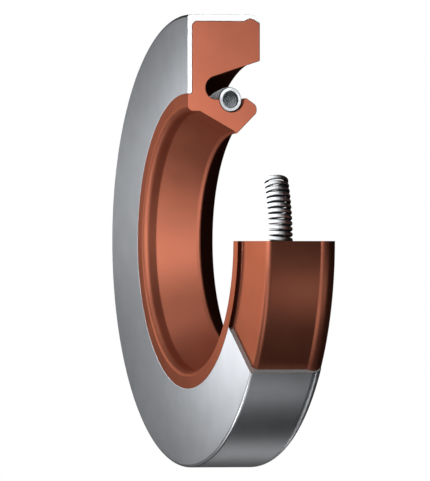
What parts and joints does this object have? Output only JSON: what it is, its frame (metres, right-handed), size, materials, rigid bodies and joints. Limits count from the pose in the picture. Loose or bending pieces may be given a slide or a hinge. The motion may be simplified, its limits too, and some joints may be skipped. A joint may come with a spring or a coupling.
{
  "type": "oil seal",
  "caption": "Rotary shaft lip seal cut open to show its section: a pressed steel case, a moulded rubber lip element and a garter spring that keeps the lip on the shaft.",
  "frame": {"origin": "on the seal's axis, halfway along the land of the sealing lip", "axes": "+Z is the seal's axis and points out of the air side, so the seal lies on its oil side; +X runs through the cut face where all three pieces end together, and the free end of the spring stands on the -Y side"},
  "size_m": [0.0722, 0.0716, 0.0123],
  "materials": {
    "case_steel": "satin",
    "lip_rubber": "satin",
    "spring_wire": "polished"
  },
  "bodies": {
    "root": {"case": "case_steel", "sealing_element": "lip_rubber", "garter_spring": "spring_wire"}
  },
  "joints": []
}
